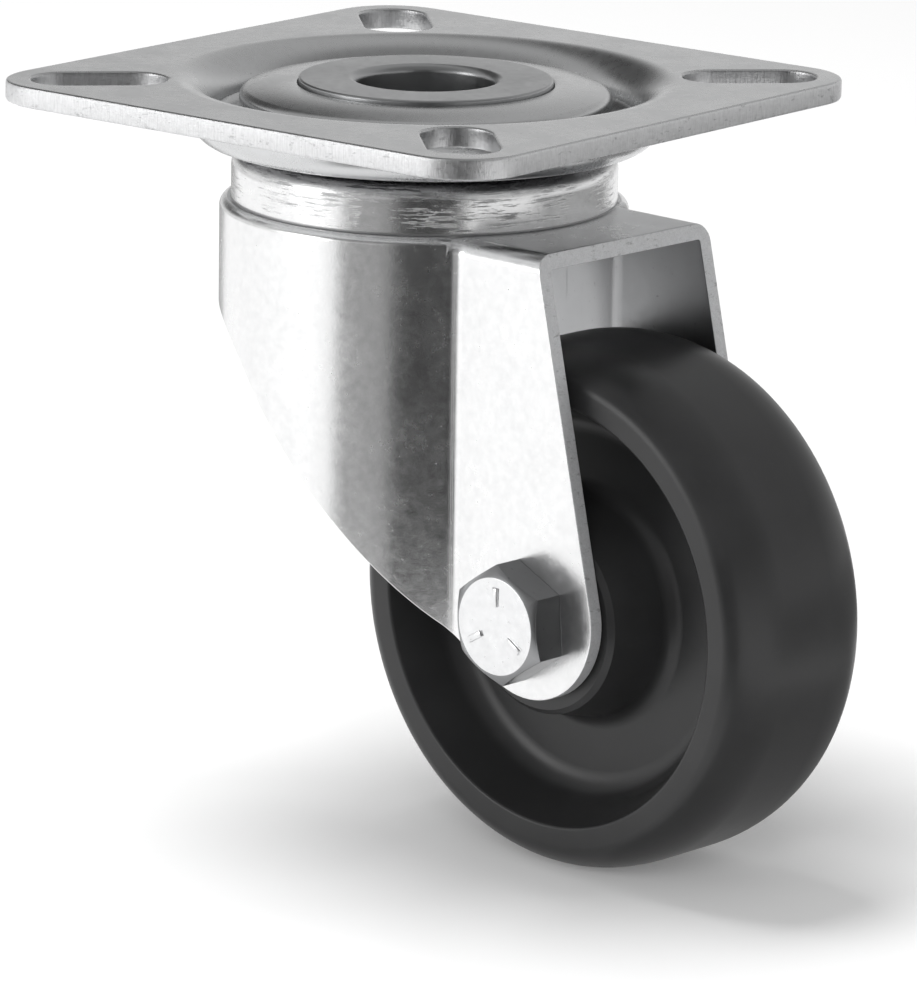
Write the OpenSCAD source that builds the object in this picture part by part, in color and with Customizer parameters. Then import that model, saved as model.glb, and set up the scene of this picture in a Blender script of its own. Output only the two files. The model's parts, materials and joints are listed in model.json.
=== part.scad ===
// Swivel castor: pressed plate, ball-bearing fork head, drawn fork, solid wheel.
// Units are millimetres. The origin is the middle of the plate's top face, on the swivel axis.
// X and Y run along the plate's diagonals, Z points up out of the plate.
// The fork is drawn in its own frame (x along the trail, y along the axle) and then turned.

/* [Shown] */
// name of the piece to draw, or all of them
// resting angle of the fork about the swivel axis
rest_angle = -50; // [-180:5:180]

/* [Top plate] */
// side of the square plate
plate_w = 60; // [58:0.5:64]
// radius of the plate's corners
plate_corner_r = 6.4; // [5:0.2:7]
// thickness of the plate sheet
plate_t = 2; // [1.9:0.1:2.2]
// width of a bolt slot
slot_w = 6.6; // [6:0.1:6.8]
// length of a bolt slot over its round ends
slot_l = 12.8; // [11:0.1:13]
// distance from the swivel axis to the middle of a slot
slot_mid_r = 30.95; // [30.8:0.05:31.2]
// width of the flat lip left round the inner end of a slot
lip_w = 1.5; // [1:0.1:2]

/* [Pressed groove] */
// radius at which the plate starts to bend down
rim_r = 24; // [23.8:0.1:24.2]
// radius of the bend on the underside
rim_bend_r = 1.8; // [1.6:0.1:2]
// depth of the groove below the plate's top face
groove_depth = 4; // [3.9:0.1:4.1]
// radius of the raised centre's outer wall
dome_r = 17.7; // [17.6:0.1:18]
// radius of the groove's bottom corners
groove_round = 0.8; // [0.4:0.1:1]
// drop of the raised centre at the rivet's flange
dome_drop = 0.45; // [0.3:0.05:0.6]
// drop of the raised centre at its edge
dome_edge_drop = 1.1; // [0.9:0.05:1.3]
// rounding of the raised centre's edge
dome_round = 0.9; // [0.6:0.1:1.2]
// sheet left under the rivet's flange
dome_web_t = 1.55; // [1.5:0.05:1.7]

/* [King rivet] */
// radius of the rivet's flange
flange_r = 12.1; // [11.6:0.1:12.3]
// thickness of the flange
flange_t = 1; // [0.9:0.1:1.1]
// radius of the rivet's bore
rivet_bore_r = 6.6; // [6.2:0.1:6.9]
// outer radius of the rivet's tube
rivet_tube_r = 8; // [7.8:0.1:8.1]
// rounding of the bore's mouth
rivet_mouth_r = 0.8; // [0.5:0.1:1]
// reach of the spread end beyond the tube
flare_reach = 1.8; // [1.2:0.1:2]
// thickness of the spread end
flare_t = 1; // [0.8:0.1:1.2]

/* [Bearing] */
// diameter of a ball
ball_d = 4; // [3.8:0.1:4.1]
// gap round a ball in its track
ball_gap = 0.1; // [0.05:0.01:0.12]
// radius of the upper ball circle
upper_pitch_r = 13.6; // [13.5:0.1:13.7]
// balls in the upper row
upper_count = 20; // [12:1:20]
// radius of the lower ball circle
lower_pitch_r = 10.6; // [10.5:0.1:10.7]
// balls in the lower row
lower_count = 15; // [8:1:15]
// thickness of the lower race cup
cup_t = 1.5; // [1.2:0.1:1.6]
// height of the cup's rim above the ball centres
cup_rim = 0.4; // [0:0.1:0.7]

/* [Fork head] */
// thickness of the fork sheet
fork_t = 1.5; // [1.4:0.1:1.6]
// outer radius of the neck
neck_r = 18.4; // [18.2:0.1:18.6]
// gap between the plate's ridge and the fork head
head_gap = 0.5; // [0.4:0.05:0.6]
// height of the inner ball race above the head
crest_rise = 0.4; // [0.3:0.05:0.5]
// radius of the hole for the rivet
head_hole_r = 8.9; // [8.7:0.1:9]
// inner radius of the neck's top bend
neck_bend_r = 0.5; // [0.3:0.1:0.8]

/* [Fork body] */
// height of the roof below the plate's top face
roof_drop = 11.5; // [11.3:0.1:12]
// front edge of the roof ahead of the swivel axis
roof_front = 25.8; // [25:0.1:27]
// outer radius of the round body
body_r = 19.5; // [19.4:0.1:20.4]
// rounding of the round body's top edge
body_edge_r = 0.9; // [0.5:0.1:1]
// clear width between the legs
fork_gap = 20.4; // [20.2:0.1:21.4]
// outer radius of the bend between roof and sides
leg_bend_r = 1.8; // [1.7:0.1:2.6]
// radius of the crease between body and legs
crease_r = 2; // [1.5:0.1:2.5]
// lower edge of the body behind the swivel axis
back_drop = 21.3; // [20.5:0.1:22.5]
// angle of the legs' rear edge
rear_angle = 47.5; // [44:0.5:50]
// radius that joins the rear edge to the back
back_blend_r = 17; // [12:1:18]

/* [Leg ends] */
// swivel axis to wheel axle
trail = 25; // [24:0.5:28]
// plate's top face to wheel axle
axle_drop = 46; // [45:0.5:52]
// radius of a leg's round end
leg_end_r = 8.1; // [7.9:0.1:9]
// middle of the round end ahead of the axle
leg_end_ahead = 0.4; // [0:0.1:0.6]
// middle of the round end above the axle
leg_end_above = 0.5; // [0:0.1:0.6]
// radius of the heel behind the round end
heel_r = 6; // [5:0.5:7]
// middle of the heel behind the axle
heel_back = 5.5; // [5:0.1:6]
// middle of the heel above the axle
heel_above = 1.6; // [1:0.1:2.4]
// height of the raised boss round an axle hole
boss_h = 0.3; // [0.2:0.05:0.5]
// radius of the boss at its foot
boss_foot_r = 7.3; // [7:0.1:7.6]
// radius of the boss on its flat
boss_top_r = 6.6; // [6.4:0.1:6.8]

/* [Wheel] */
// diameter of the wheel
wheel_d = 50; // [48:0.5:54]
// width of the tread
wheel_w = 18; // [16:0.5:19]
// axial length of the rounded tread shoulder
shoulder_w = 5.7; // [4:0.1:6.5]
// height of the rounded tread shoulder
shoulder_h = 2.9; // [2:0.1:3.5]
// width of the rim's side land below the shoulder
rim_land = 1.9; // [1.2:0.1:2.4]
// slope of the recess wall over its depth
recess_slope = 2.2; // [1.5:0.1:3]
// thickness of the wheel's web
web_t = 6; // [4:0.5:8]
// radius of the corners at the web
web_fillet = 1.6; // [0.8:0.1:2]
// radius of the hub at the web
hub_foot_r = 10.8; // [10:0.1:11.4]
// radius of the hub at its end
hub_end_r = 9.4; // [8.5:0.1:9.8]
// chamfer of the hub's end
hub_chamfer = 0.5; // [0.3:0.1:0.8]
// gap between the hub and each leg
hub_side_gap = 0.3; // [0.25:0.05:0.5]
// running gap between hub and axle tube
run_gap = 0.06; // [0.03:0.01:0.09]

/* [Axle] */
// diameter of the axle bolt
bolt_d = 6; // [5.5:0.1:6]
// length of the bolt under its head
bolt_l = 32; // [31:0.5:35]
// width across the flats of head and nut
hex_af = 10; // [9.5:0.1:10.5]
// height of the bolt head
head_h = 3.6; // [3.4:0.1:4]
// radius of the flat on the bolt head
head_flat_r = 4.6; // [4.3:0.1:4.7]
// turn of the bolt head about its axis
head_turn = 35; // [0:1:59]
// turn of the nut about its axis
nut_turn = 12; // [0:1:59]
// height of the nut with its collar
nut_h = 6; // [5.8:0.1:6.5]
// outer diameter of the axle tube
tube_d = 8; // [7.6:0.1:8.2]
// gap between bolt and tube
bolt_gap = 0.05; // [0.03:0.01:0.08]
// gap between bolt and leg hole
hole_gap = 0.1; // [0.08:0.01:0.2]

/* [Hidden] */
$fn = 96;
// overlap that joins two shapes of one piece
lap = 1;
// small overlap inside a sheet
nip = 0.2;

// heights, from the plate's top face down
ridge_z = -(groove_depth + plate_t);
dome_under_z = -(flange_t + dome_web_t);
track_r = ball_d / 2 + ball_gap;
upper_z = dome_under_z - track_r;
head_top_z = ridge_z - head_gap;
crest_top_z = head_top_z + crest_rise;
lower_z = crest_top_z - fork_t - track_r;
cup_top_z = lower_z - track_r;
cup_low_z = cup_top_z - cup_t;
roof_z = -roof_drop;

// pressed groove of the plate
rim_top_r = rim_bend_r + plate_t;
groove_out_r = rim_r - rim_top_r;
ridge_out_r = rim_r - rim_bend_r;
track_wall_r = upper_pitch_r + track_r;
ridge_in_round = upper_z - ridge_z;
ridge_out_round = ridge_out_r - groove_out_r;
rivet_fit = 0.05;
recess_r = flange_r + rivet_fit;
dome_slope = atan((dome_edge_drop - dome_drop) / (dome_r - flange_r));
dome_edge_mid_r = dome_r - dome_round;
dome_edge_mid_z = dome_line(dome_edge_mid_r) - dome_round / cos(dome_slope);
slot_in_r = slot_mid_r - slot_l / 2 + slot_w / 2;

// wave of the fork head between its two ball tracks
low_track = [lower_pitch_r, lower_z];
top_track = [upper_pitch_r, upper_z];
wave = top_track - low_track;
wave_turn = atan2(wave.y, wave.x) + acos((2 * track_r + fork_t) / norm(wave));
wave_n = [cos(wave_turn), sin(wave_turn)];
valley_far_r = upper_pitch_r + sqrt(pow(track_r, 2) - pow(head_top_z - upper_z, 2));
under_z = head_top_z - fork_t;
under_far_r = upper_pitch_r + sqrt(pow(track_r + fork_t, 2) - pow(under_z - upper_z, 2));
neck_in_r = neck_r - fork_t;
neck_round = neck_bend_r + fork_t;

// plan and side view of the fork
leg_in = fork_gap / 2;
leg_y = leg_in + fork_t;
crease_y = leg_y + crease_r;
crease_x = sqrt(pow(body_r + crease_r, 2) - pow(crease_y, 2));
crease = [crease_x, crease_y];
corner_cover = 1.4;
crease_reach = corner_cover * (crease_r + leg_bend_r);
axle = [trail, -axle_drop];
leg_end = axle + [leg_end_ahead, leg_end_above];
heel = axle + [-heel_back, heel_above];
inner_bend_r = 0.2;
rear_n = [-sin(rear_angle), -cos(rear_angle)];
heel_pt = heel + heel_r * rear_n;
blend_mid_z = -back_drop - back_blend_r;
blend_mid_x = heel_pt.x + (back_blend_r - rear_n.y * (blend_mid_z - heel_pt.y)) / rear_n.x;
blend_mid = [blend_mid_x, blend_mid_z];
blend_pt = blend_mid - back_blend_r * rear_n;
sole = leg_end - heel;
sole_turn = atan2(sole.y, sole.x) - acos((heel_r - leg_end_r) / norm(sole));
sole_n = [cos(sole_turn), sin(sole_turn)];
roof_pt = [roof_front, roof_z];
front = roof_pt - leg_end;
front_turn = atan2(front.y, front.x) - acos(leg_end_r / norm(front));
front_pt = leg_end + leg_end_r * [cos(front_turn), sin(front_turn)];
front_up = roof_pt + (lap / norm(roof_pt - front_pt)) * (roof_pt - front_pt);
far = body_r + 2 * lap;
deep_z = leg_end.y - leg_end_r - 2 * lap;
long_x = leg_end.x + leg_end_r + 2 * lap;
boss_recess_in = 0.5;
boss_y = leg_y + boss_h;

// Wheel
wheel_r = wheel_d / 2;
wheel_half = wheel_w / 2;
web_half = web_t / 2;
recess_out_r = wheel_r - shoulder_h - rim_land;
recess_in_r = recess_out_r - recess_slope;
recess_turn = atan2(wheel_half - web_half, recess_slope);
hub_half = leg_in - hub_side_gap;
hub_turn = atan2(hub_half - web_half, hub_end_r - hub_foot_r);

// Axle
bolt_r = bolt_d / 2;
tube_r = tube_d / 2;
tube_l = 2 * (leg_in + boss_h);
corner_r = hex_af / 2 / cos(30);
tip_chamfer = 0.6;
nut_fit = 0.03;
nut_hex_share = 0.74;
nut_hex_h = nut_hex_share * nut_h;
nut_collar_share = 0.45;
nut_collar_r = nut_collar_share * hex_af;
nut_round = 0.7;
nut_lip_gap = 0.45;
nut_lip_r = bolt_r + nut_lip_gap;
insert_wall = 0.75;
insert_r = bolt_r + insert_wall;
insert_share = 0.7;
insert_h = insert_share * (nut_h - nut_hex_h);

function two(i) = i < 10 ? str("0", i) : str(i);
function dome_line(r) = -dome_drop - (r - flange_r) * tan(dome_slope);

// flat shapes in the plane of radius and height
module rz_box(r0, z0, r1, z1) {
  translate([r0, z0])
    square([r1 - r0, z1 - z0]);
}

module rz_disc(mid, rad) {
  translate(mid)
    circle(r = rad);
}

// material left in a hollow corner at c between the directions a0 and a1
module corner_fill(c, a0, a1, rad) {
  half = (a1 - a0) / 2;
  mid = (a0 + a1) / 2;
  toward = [cos(mid), sin(mid)];
  centre = c + rad / sin(half) * toward;
  reach = rad / tan(half);
  difference() {
    polygon([
      c - nip * toward,
      c + reach * [cos(a0), sin(a0)],
      centre,
      c + reach * [cos(a1), sin(a1)]
    ]);
    rz_disc(centre, rad);
  }
}

// Top plate
module plate_outline() {
  flat = plate_w - 2 * plate_corner_r;
  rotate(45) {
    square([plate_w, flat], center = true);
    square([flat, plate_w], center = true);
    for (x = [-1, 1], y = [-1, 1])
      rz_disc([x * flat / 2, y * flat / 2], plate_corner_r);
  }
}

module groove_void() {
  rz_box(dome_r, -groove_depth + groove_round, groove_out_r, lap);
  rz_box(dome_r + groove_round, -groove_depth, groove_out_r - groove_round, lap);
  rz_disc([dome_r + groove_round, -groove_depth + groove_round], groove_round);
  rz_disc([groove_out_r - groove_round, -groove_depth + groove_round], groove_round);
}

module track_void() {
  rz_box(0, ridge_z - lap, upper_pitch_r, dome_under_z);
  rz_box(0, ridge_z - lap, track_wall_r, upper_z);
  rz_disc(top_track, track_r);
}

module dome_shape() {
  edge = [dome_edge_mid_r + dome_round * sin(dome_slope),
          dome_edge_mid_z + dome_round * cos(dome_slope)];
  bore_r = rivet_tube_r + rivet_fit;
  polygon([
    [bore_r, -groove_depth],
    [bore_r, -flange_t],
    [recess_r, -flange_t],
    [recess_r, dome_line(recess_r)],
    edge,
    [dome_edge_mid_r, dome_edge_mid_z],
    [dome_r, dome_edge_mid_z],
    [dome_r, -groove_depth]
  ]);
  rz_disc([dome_edge_mid_r, dome_edge_mid_z], dome_round);
}

module ridge_shape() {
  rz_box(track_wall_r + ridge_in_round, ridge_z, groove_out_r, -groove_depth + nip);
  rz_box(track_wall_r, upper_z, groove_out_r, -groove_depth + nip);
  rz_disc([track_wall_r + ridge_in_round, upper_z], ridge_in_round);
  intersection() {
    rz_disc([groove_out_r, ridge_z + ridge_out_round], ridge_out_round);
    rz_box(groove_out_r - nip, ridge_z, ridge_out_r, ridge_z + ridge_out_round);
  }
  rz_box(groove_out_r - nip, ridge_z + ridge_out_round, ridge_out_r, -rim_top_r);
}

module rim_shape() {
  intersection() {
    rz_disc([rim_r, -rim_top_r], rim_top_r);
    rz_box(groove_out_r, -rim_top_r - nip, rim_r, lap);
  }
  rz_box(rim_r - nip, -plate_t, rim_r + nip, 0);
}

module top_plate() {
  color([0.66, 0.67, 0.68])
    difference() {
      union() {
        difference() {
          translate([0, 0, -plate_t])
            linear_extrude(plate_t)
              plate_outline();
          translate([0, 0, -plate_t - lap])
            cylinder(r = rim_r, h = plate_t + 2 * lap);
        }
        rotate_extrude()
          difference() {
            union() {
              dome_shape();
              ridge_shape();
              rim_shape();
            }
            rz_disc([rim_r, -rim_top_r], rim_bend_r);
            rz_box(ridge_out_r, -groove_depth - lap, rim_r, -rim_top_r);
            groove_void();
            track_void();
          }
        for (a = [0:90:270])
          rotate(a)
            translate([slot_in_r, 0, -plate_t])
              cylinder(r = slot_w / 2 + lip_w, h = plate_t);
      }
      for (a = [0:90:270])
        rotate(a) {
          for (end = [-1, 1])
            translate([slot_mid_r + end * (slot_l - slot_w) / 2, 0, -plate_t - lap])
              cylinder(r = slot_w / 2, h = plate_t + 2 * lap);
          translate([slot_mid_r, 0, -plate_t / 2])
            cube([slot_l - slot_w, slot_w, plate_t + 2 * lap], center = true);
        }
    }
}

// King rivet
module king_rivet() {
  foot_z = cup_low_z - flare_t;
  lip_r = rivet_bore_r + rivet_mouth_r;
  spread_r = rivet_tube_r + flare_reach;
  color([0.62, 0.63, 0.65])
    rotate_extrude() {
      rz_box(lip_r, -flange_t, flange_r - nip, 0);
      rz_box(lip_r, -flange_t, flange_r, -nip);
      rz_disc([flange_r - nip, -nip], nip);
      rz_box(rivet_bore_r, foot_z + rivet_mouth_r, rivet_tube_r, -rivet_mouth_r);
      intersection() {
        for (mid_z = [-rivet_mouth_r, foot_z + rivet_mouth_r])
          rz_disc([lip_r, mid_z], rivet_mouth_r);
        rz_box(rivet_bore_r, foot_z, lip_r + nip, 0);
      }
      rz_box(lip_r, foot_z, spread_r - flare_t / 2, cup_low_z);
      rz_disc([spread_r - flare_t / 2, cup_low_z - flare_t / 2], flare_t / 2);
    }
}

// Bearing
module lower_race_cup() {
  wall_r = lower_pitch_r + track_r;
  color([0.55, 0.56, 0.58])
    rotate_extrude() {
      rz_box(rivet_tube_r + rivet_fit, cup_low_z, lower_pitch_r, cup_top_z);
      intersection() {
        difference() {
          rz_disc(low_track, track_r + cup_t);
          rz_disc(low_track, track_r);
        }
        rz_box(lower_pitch_r - nip, cup_low_z, wall_r + cup_t, lower_z);
      }
      rz_box(wall_r, lower_z - nip / 2, wall_r + cup_t, lower_z + cup_rim);
    }
}

module upper_ball(i) {
  color([0.8, 0.8, 0.82])
    rotate((i - 1) * 360 / upper_count)
      translate([upper_pitch_r, 0, upper_z])
        sphere(d = ball_d);
}

module lower_ball(i) {
  color([0.8, 0.8, 0.82])
    rotate((i - 1) * 360 / lower_count)
      translate([lower_pitch_r, 0, lower_z])
        sphere(d = ball_d);
}

// Fork
module head_shape() {
  top_low = low_track + (track_r + fork_t) * wave_n;
  top_high = top_track - track_r * wave_n;
  under_low = low_track + track_r * wave_n;
  under_high = top_track - (track_r + fork_t) * wave_n;
  neck_mid = [neck_r - neck_round, head_top_z - neck_round];
  difference() {
    union() {
      intersection() {
        rz_disc(low_track, track_r + fork_t);
        rz_box(head_hole_r, lower_z, top_low.x, crest_top_z + nip);
      }
      polygon([
        [top_low.x - nip, lower_z],
        [top_low.x - nip, top_low.y],
        top_low,
        top_high,
        [top_high.x, lower_z]
      ]);
      difference() {
        rz_box(top_high.x - nip, lower_z, valley_far_r + nip, head_top_z);
        rz_disc(top_track, track_r);
        polygon([top_low, top_high, [top_high.x, crest_top_z], [top_low.x, crest_top_z]]);
      }
      rz_box(valley_far_r, lower_z, neck_mid.x, head_top_z);
      rz_box(neck_mid.x - nip, lower_z, neck_r, neck_mid.y);
      rz_disc(neck_mid, neck_round);
      rz_box(neck_in_r, roof_z - fork_t / 2, neck_r, lower_z + nip);
    }
    rz_disc(low_track, track_r);
    polygon([
      under_low,
      under_high,
      [under_high.x, lower_z - lap],
      [low_track.x, lower_z - lap],
      low_track
    ]);
    difference() {
      rz_box(under_high.x - nip, lower_z - lap, under_far_r, under_z);
      rz_disc(top_track, track_r + fork_t);
      polygon([under_high, under_low, under_low + wave_n, under_high + wave_n]);
    }
    rz_box(0, lower_z - lap, low_track.x, lower_z);
    rz_box(under_far_r - nip, lower_z - lap, neck_mid.x, under_z);
    rz_box(under_far_r - nip, lower_z - lap, neck_in_r, neck_mid.y);
    rz_disc(neck_mid, neck_bend_r);
  }
}

// round body, legs and roof, moved inward by the inset
module shell(inset) {
  r = body_r - inset;
  w = leg_y - inset;
  top = roof_z - inset;
  bend = max(leg_bend_r - inset, inner_bend_r);
  edge = max(body_edge_r - inset, inner_bend_r);
  hollow = crease_r + inset;
  toward = crease / norm(crease);
  difference() {
    union() {
      rotate_extrude() {
        rz_box(0, deep_z, r, top - edge);
        rz_box(0, deep_z, r - edge, top);
        rz_disc([r - edge, top - edge], edge);
      }
      rotate([90, 0, 90])
        linear_extrude(long_x) {
          rz_box(-w, deep_z, w, top - bend);
          rz_box(bend - w, deep_z, w - bend, top);
          for (side = [-1, 1])
            rz_disc([side * (w - bend), top - bend], bend);
        }
      for (side = [0, 1])
        mirror([0, side, 0])
          translate([0, 0, deep_z])
            linear_extrude(top - deep_z)
              polygon([
                crease,
                crease - crease_reach * toward,
                crease - [0, crease_reach]
              ]);
    }
    for (side = [-1, 1])
      translate([crease_x, side * crease_y, 0])
        rotate_extrude() {
          rz_box(0, deep_z - lap, hollow, top + lap);
          difference() {
            rz_box(0, top - bend, hollow + bend, top + lap);
            rz_disc([hollow + bend, top - bend], bend);
          }
        }
  }
}

module side_view() {
  difference() {
    union() {
      polygon([
        front_up,
        front_pt,
        leg_end,
        leg_end + leg_end_r * sole_n,
        heel + heel_r * sole_n,
        heel,
        heel_pt,
        blend_pt,
        [blend_mid.x, -back_drop],
        [-far, -back_drop],
        [-far, front_up.y]
      ]);
      rz_disc(leg_end, leg_end_r);
      rz_disc(heel, heel_r);
    }
    rz_disc(blend_mid, back_blend_r);
  }
}

// along the axle, outward on the given side, from the fork's middle plane
module on_axle(side) {
  translate([axle.x, 0, axle.y])
    rotate([side < 0 ? 90 : -90, 0, 0])
      children();
}

module fork() {
  color([0.7, 0.71, 0.72])
    rotate(rest_angle)
      difference() {
        union() {
          intersection() {
            difference() {
              shell(0);
              shell(fork_t);
            }
            rotate([90, 0, 0])
              linear_extrude(2 * far, center = true)
                side_view();
          }
          rotate_extrude()
            head_shape();
          for (side = [-1, 1])
            on_axle(side) {
              translate([0, 0, leg_y])
                cylinder(r1 = boss_foot_r, r2 = boss_top_r, h = boss_h);
              translate([0, 0, leg_y - nip])
                cylinder(r = boss_foot_r, h = nip);
            }
        }
        translate([0, 0, roof_z - fork_t - lap])
          cylinder(r = neck_in_r, h = fork_t + 2 * lap);
        for (side = [-1, 1])
          on_axle(side) {
            translate([0, 0, leg_in])
              cylinder(r1 = boss_foot_r - boss_recess_in, r2 = boss_top_r - boss_recess_in, h = boss_h);
            translate([0, 0, leg_in - lap])
              cylinder(r = boss_foot_r - boss_recess_in, h = lap);
            translate([0, 0, leg_in - lap])
              cylinder(r = bolt_r + hole_gap, h = fork_t + 3 * lap);
          }
      }
}

// Wheel
module wheel_shape() {
  difference() {
    union() {
      difference() {
        union() {
          rz_box(0, shoulder_w - wheel_half, wheel_r, wheel_half - shoulder_w);
          rz_box(0, -wheel_half, wheel_r - shoulder_h, wheel_half);
          for (side = [-1, 1])
            translate([wheel_r - shoulder_h, side * (wheel_half - shoulder_w)])
              scale([shoulder_h, shoulder_w])
                circle(r = 1);
        }
        for (side = [0, 1])
          mirror([0, side])
            polygon([
              [0, web_half],
              [recess_in_r, web_half],
              [recess_out_r, wheel_half],
              [recess_out_r, wheel_half + lap],
              [0, wheel_half + lap]
            ]);
      }
      for (side = [0, 1])
        mirror([0, side]) {
          polygon([
            [0, 0],
            [hub_foot_r, 0],
            [hub_foot_r, web_half],
            [hub_end_r, hub_half - hub_chamfer],
            [hub_end_r - hub_chamfer, hub_half],
            [0, hub_half]
          ]);
          corner_fill([recess_in_r, web_half], recess_turn, 180, web_fillet);
          corner_fill([hub_foot_r, web_half], 0, hub_turn, web_fillet);
        }
    }
    rz_box(-lap, -hub_half - lap, tube_r + run_gap, hub_half + lap);
  }
}

module wheel() {
  color([0.16, 0.16, 0.17])
    rotate(rest_angle)
      on_axle(1)
        rotate_extrude()
          wheel_shape();
}

// Axle
module axle_tube() {
  color([0.6, 0.61, 0.62])
    rotate(rest_angle)
      on_axle(1)
        difference() {
          cylinder(r = tube_r, h = tube_l, center = true);
          cylinder(r = bolt_r + bolt_gap, h = tube_l + 2 * lap, center = true);
        }
}

module axle_bolt() {
  color([0.72, 0.73, 0.74])
    rotate(rest_angle) {
      on_axle(-1)
        translate([0, 0, boss_y])
          intersection() {
            rotate(head_turn)
              cylinder(r = corner_r, h = head_h, $fn = 6);
            rotate_extrude()
              polygon([
                [0, 0],
                [corner_r + nip, 0],
                [corner_r + nip, head_h - (corner_r + nip - head_flat_r) * tan(30)],
                [head_flat_r, head_h],
                [0, head_h]
              ]);
          }
      on_axle(1)
        translate([0, 0, -boss_y - nip])
          rotate_extrude()
            polygon([
              [0, 0],
              [bolt_r, 0],
              [bolt_r, bolt_l + nip - tip_chamfer],
              [bolt_r - tip_chamfer, bolt_l + nip],
              [0, bolt_l + nip]
            ]);
    }
}

module lock_nut() {
  color([0.66, 0.67, 0.68])
    rotate(rest_angle)
      on_axle(1)
        translate([0, 0, boss_y])
          difference() {
            union() {
              intersection() {
                rotate(nut_turn)
                  cylinder(r = corner_r, h = nut_hex_h, $fn = 6);
                rotate_extrude()
                  polygon([
                    [0, 0],
                    [head_flat_r, 0],
                    [corner_r + nip, (corner_r + nip - head_flat_r) * tan(30)],
                    [corner_r + nip, nut_hex_h - (corner_r + nip - head_flat_r) * tan(30)],
                    [head_flat_r, nut_hex_h],
                    [0, nut_hex_h]
                  ]);
              }
              rotate_extrude() {
                rz_box(0, nut_hex_h - nip, nut_collar_r, nut_h - nut_round);
                rz_box(0, nut_hex_h - nip, nut_collar_r - nut_round, nut_h);
                rz_disc([nut_collar_r - nut_round, nut_h - nut_round], nut_round);
              }
            }
            translate([0, 0, -lap])
              cylinder(r = bolt_r + nut_fit, h = nut_h);
            translate([0, 0, nut_hex_h])
              cylinder(r = insert_r, h = insert_h);
            translate([0, 0, nut_hex_h])
              cylinder(r = nut_lip_r, h = nut_h);
          }
}

module nut_insert() {
  color([0.2, 0.32, 0.62])
    rotate(rest_angle)
      on_axle(1)
        translate([0, 0, boss_y + nut_hex_h])
          difference() {
            cylinder(r = insert_r, h = insert_h);
            translate([0, 0, -lap])
              cylinder(r = bolt_r, h = insert_h + 2 * lap);
          }
}

top_plate();
king_rivet();
lower_race_cup();
for (i = [1:upper_count])
  upper_ball(i);
for (i = [1:lower_count])
  lower_ball(i);
fork();
wheel();
axle_tube();
axle_bolt();
lock_nut();
nut_insert();
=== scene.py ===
# %% [markdown] # A swivel castor in zinc-plated steel and black plastic The lesson
# dresses a packed CAD model. Lengths are in metres, and mm turns a size read off a
# drawing into metres. The strengths in the finishes were tuned against the picture.

# %% Load the frame
import json
import math
import bmesh
import bpy
from mathutils import Matrix, Vector


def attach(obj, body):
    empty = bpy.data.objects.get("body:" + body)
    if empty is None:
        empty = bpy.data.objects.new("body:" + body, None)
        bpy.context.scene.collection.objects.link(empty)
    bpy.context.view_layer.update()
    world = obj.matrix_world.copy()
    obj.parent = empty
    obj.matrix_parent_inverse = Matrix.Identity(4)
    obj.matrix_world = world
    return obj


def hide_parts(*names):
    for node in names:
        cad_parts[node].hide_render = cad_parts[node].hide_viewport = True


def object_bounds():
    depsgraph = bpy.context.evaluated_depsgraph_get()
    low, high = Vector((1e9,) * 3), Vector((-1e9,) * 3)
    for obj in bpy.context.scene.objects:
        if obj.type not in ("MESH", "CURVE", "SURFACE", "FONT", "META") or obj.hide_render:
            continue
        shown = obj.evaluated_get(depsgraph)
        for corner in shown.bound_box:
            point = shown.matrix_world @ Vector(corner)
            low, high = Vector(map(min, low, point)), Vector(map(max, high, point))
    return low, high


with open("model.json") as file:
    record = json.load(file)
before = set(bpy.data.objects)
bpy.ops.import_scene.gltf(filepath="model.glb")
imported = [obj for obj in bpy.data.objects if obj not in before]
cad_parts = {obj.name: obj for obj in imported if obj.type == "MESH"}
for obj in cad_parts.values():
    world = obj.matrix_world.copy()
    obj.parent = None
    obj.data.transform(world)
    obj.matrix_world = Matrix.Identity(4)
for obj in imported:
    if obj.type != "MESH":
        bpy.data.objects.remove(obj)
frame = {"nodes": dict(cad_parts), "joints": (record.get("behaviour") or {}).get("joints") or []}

mm = 0.001
cad_low, cad_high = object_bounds()
print("CAD box", [round(v / mm, 1) for v in (*cad_low, *cad_high)])

# %% Read the axes from the joints
joints = {joint["name"]: joint for joint in frame["joints"]}
axle_mid = Vector(joints["wheel_spin"]["pos_m"])
across = Vector(joints["wheel_spin"]["axis"]).normalized()
up = Vector((0, 0, 1))
ahead = Vector((axle_mid.x, axle_mid.y, 0)).normalized()
trail = math.hypot(axle_mid.x, axle_mid.y)
print("trail", round(trail / mm, 2), "fork turned to", round(math.degrees(math.atan2(ahead.y, ahead.x)), 1))

# %% [markdown]
# ## Camera
# The plate's four corners and the wheel's outline were matched to a pinhole camera. It
# stands 0.6 m off with a long lens, a little above the plate. Its place, heading, tilt and
# roll are what that match gave, and the lens follows from the width of the picture.

# %% Place the camera
picture_w, sensor_w = 917, 36
focal_px = 6468
camera_place = Vector((-61.46, -600.47, 112.18)) * mm
camera_heading = math.radians(6.197)
camera_tilt = math.radians(-14.214)
camera_roll = math.radians(0.942)
nearest, farthest = 0.02, 20

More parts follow.
